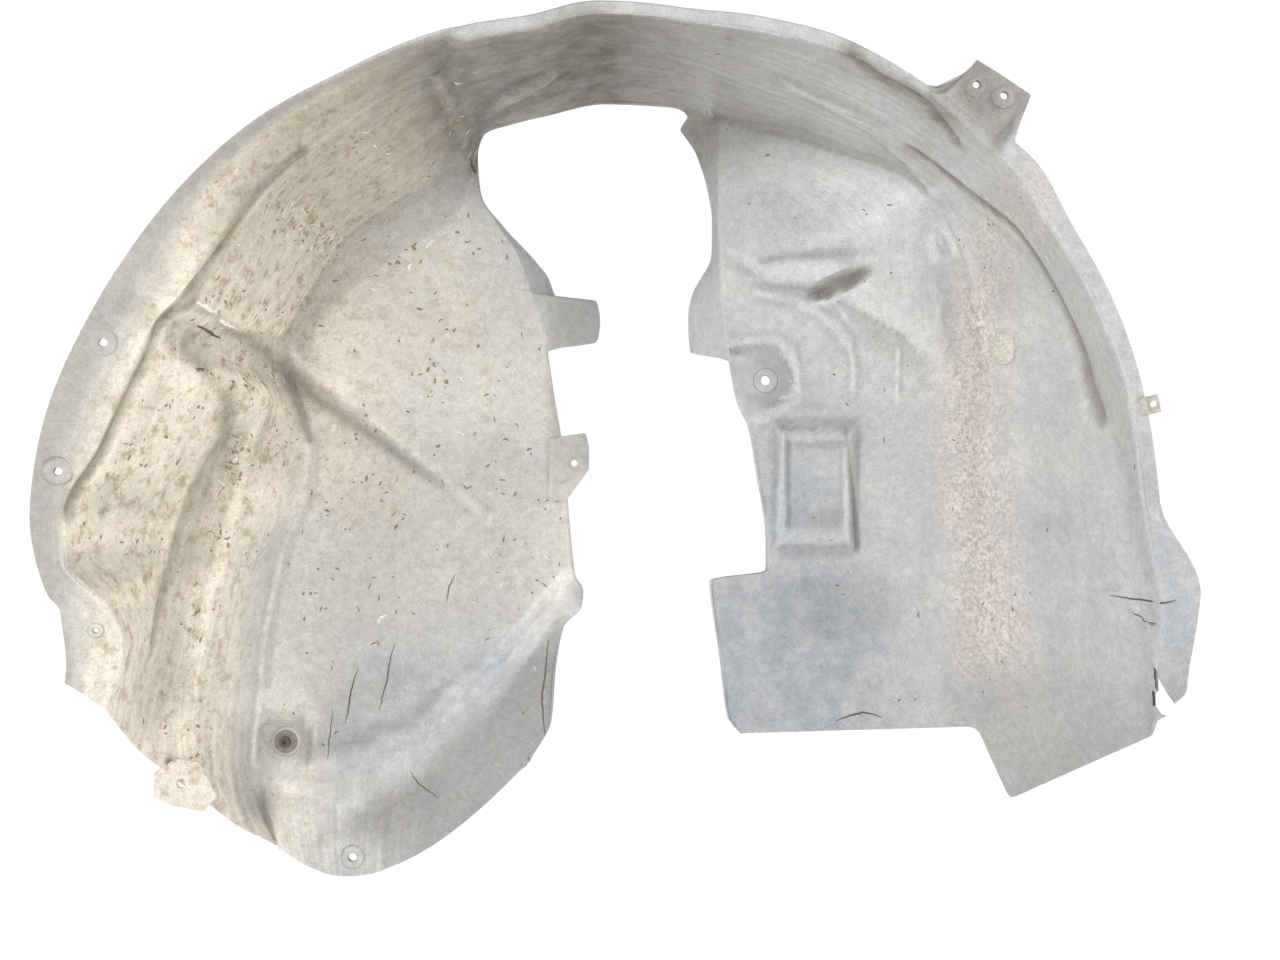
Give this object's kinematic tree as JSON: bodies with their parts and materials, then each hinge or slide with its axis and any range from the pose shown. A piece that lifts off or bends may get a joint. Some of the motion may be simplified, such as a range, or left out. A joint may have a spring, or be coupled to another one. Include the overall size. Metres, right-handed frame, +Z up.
{
  "type": "wheel arch liner",
  "caption": "Moulded plastic wheel arch liner: a deep half-round sheet with a rolled outer flange, two inner walls and a tall open gap for the strut.",
  "frame": {"origin": "centre of the main fixing hole, on the wheel side of the right inner wall", "axes": "+X along the car to the right as seen from the wheel, +Y away from the wheel towards the middle of the car, +Z up"},
  "size_m": [0.9024, 0.2889, 0.7401],
  "materials": {
    "moulded_sheet": "weathered, dusty",
    "rivet_plastic": "dusty",
    "grommet_plastic": "dusty",
    "screw_steel": "dull, worn",
    "nut_steel": "dull"
  },
  "bodies": {
    "root": {"liner_shell": "moulded_sheet", "crown_rivet": "rivet_plastic", "pocket_grommet": "grommet_plastic", "pocket_screw": "screw_steel", "edge_spring_nut": "nut_steel"}
  },
  "joints": []
}
